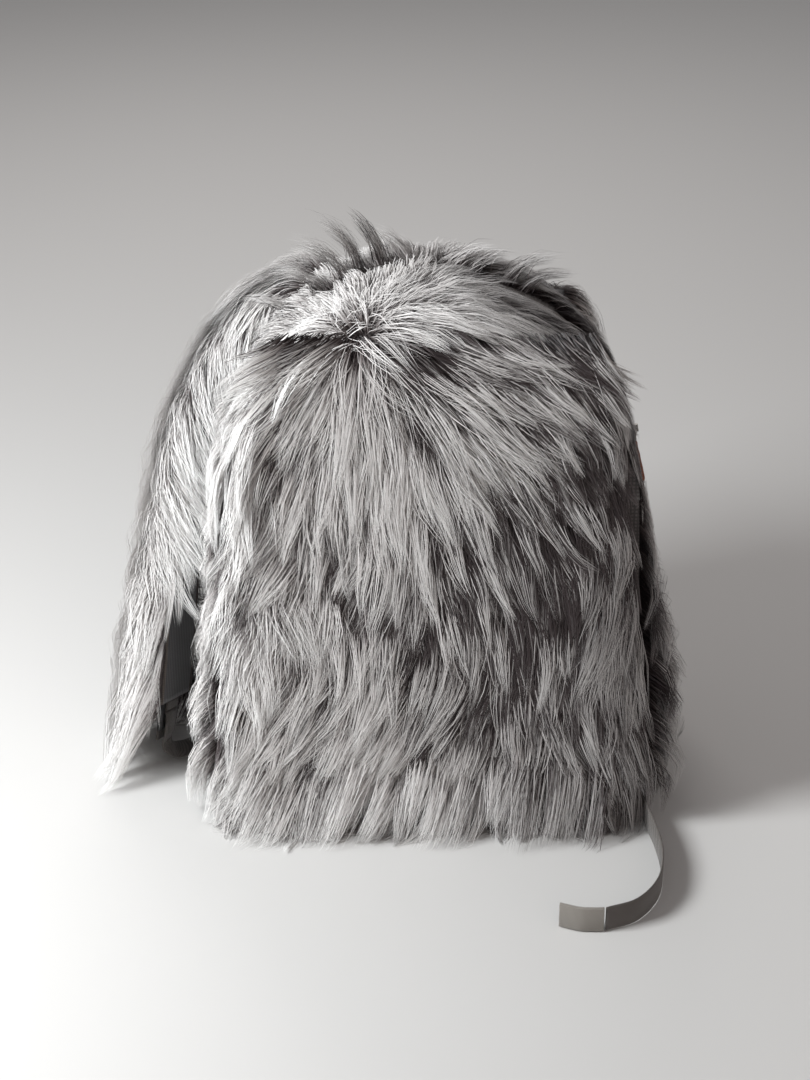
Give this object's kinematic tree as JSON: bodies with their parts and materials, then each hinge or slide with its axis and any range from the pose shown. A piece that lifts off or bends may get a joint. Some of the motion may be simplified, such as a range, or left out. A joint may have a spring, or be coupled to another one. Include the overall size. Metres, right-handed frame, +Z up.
{
  "type": "faux fur backpack",
  "caption": "Small upright backpack in long-pile frosted faux fur, dome-topped, with a zip-open front flap, haul loop and two fur-covered shoulder straps on webbing.",
  "frame": {"origin": "centre of the base on the floor, midway between the front and back fabric", "axes": "+X to the viewer's right of the front, +Y from the fur front to the back panel, +Z up; the bag stands upright"},
  "size_m": [0.4228, 0.3587, 0.421],
  "materials": {
    "fur": "long pile faux fur",
    "fur_backing": "knitted fur backing",
    "nylon": "matte woven nylon",
    "taupe_nylon": "woven taupe nylon",
    "lining": "smooth lining",
    "foam": "foam",
    "board": "matte board",
    "webbing": "ribbed webbing",
    "webbing_light": "folded and sewn webbing",
    "zip_tape": "woven zip tape",
    "zip_coil": "nylon coil",
    "metal": "dark nickel",
    "leather": "red-brown leather",
    "buckle": "moulded acetal"
  },
  "bodies": {
    "bag": {"back_panel": "nylon", "back_foam": "foam", "back_lining": "lining", "backing_body": "fur_backing", "lining_body": "lining", "base_panel": "nylon", "base_board": "board", "inner_pocket": "lining", "back_binding": "taupe_nylon", "yoke_patch": "nylon", "haul_anchor": "webbing", "anchor_tab_left": "nylon", "anchor_tab_right": "nylon", "fur_front_lower": "fur", "fur_side_left": "fur", "fur_side_right": "fur", "fur_top_rear": "fur", "zip_tape_rear": "zip_tape", "zip_coil_rear": "zip_coil", "zip_stop_left": "zip_coil", "zip_stop_right": "zip_coil"},
    "front_flap": {"fur_front_upper": "fur", "fur_top_front": "fur", "backing_flap": "fur_backing", "lining_flap": "lining", "zip_tape_front": "zip_tape", "zip_coil_front": "zip_coil"},
    "zip_slider": {"zip_slider": "metal"},
    "zip_puller": {"puller_link": "metal", "puller_tab": "leather"},
    "haul_loop": {"haul_loop": "webbing"},
    "left_strap": {"left_pad_core": "foam", "left_pad_underside": "nylon", "left_pad_fur": "fur", "left_lock_loop": "webbing"},
    "left_lock": {"left_ladder_lock": "buckle", "left_webbing": "webbing"},
    "right_strap": {"right_pad_core": "foam", "right_pad_underside": "nylon", "right_pad_fur": "fur", "right_lock_loop": "webbing"},
    "right_lock": {"right_ladder_lock": "buckle", "right_webbing": "webbing", "right_tail_drop": "webbing"},
    "right_tail": {"right_tail": "webbing", "right_tail_fold": "webbing_light"}
  },
  "joints": [
    {"name": "flap_fold", "type": "hinge", "parent": "bag", "child": "front_flap", "pos_m": [0, -0.098, 0.288], "axis": [1, 0, 0], "range_deg": [0, 60]},
    {"name": "zip_run", "type": "hinge", "parent": "bag", "child": "zip_slider", "pos_m": [0, 0.022, 0.252], "axis": [0, -1, 0], "range_deg": [0, 158]},
    {"name": "puller_swing", "type": "hinge", "parent": "zip_slider", "child": "zip_puller", "pos_m": [0.14646, 0.022, 0.28047], "axis": [0, -1, 0], "range_deg": [0, 160]},
    {"name": "haul_loop_swing", "type": "hinge", "parent": "bag", "child": "haul_loop", "pos_m": [0, 0.075, 0.374], "axis": [1, 0, 0], "range_deg": [0, 95]},
    {"name": "left_strap_swing", "type": "hinge", "parent": "bag", "child": "left_strap", "pos_m": [-0.056, 0.074, 0.362], "axis": [0, 1, 0], "range_deg": [0, 35]},
    {"name": "left_lock_tilt", "type": "hinge", "parent": "left_strap", "child": "left_lock", "pos_m": [-0.20658, 0.01527, 0.04681], "axis": [-0.2824, -0.9002, 0.3315], "range_deg": [0, 8]},
    {"name": "right_strap_swing", "type": "hinge", "parent": "bag", "child": "right_strap", "pos_m": [0.056, 0.0719, 0.364], "axis": [1, 0, 0], "range_deg": [0, 40]},
    {"name": "right_lock_tilt", "type": "hinge", "parent": "right_strap", "child": "right_lock", "pos_m": [0.11764, 0.09868, 0.08055], "axis": [0.9932, 0.0069, 0.1164], "range_deg": [0, 15]},
    {"name": "right_tail_sweep", "type": "hinge", "parent": "bag", "child": "right_tail", "pos_m": [0.1515, 0.1, 0.01], "axis": [0, 0, 1], "range_deg": [0, 15]}
  ]
}
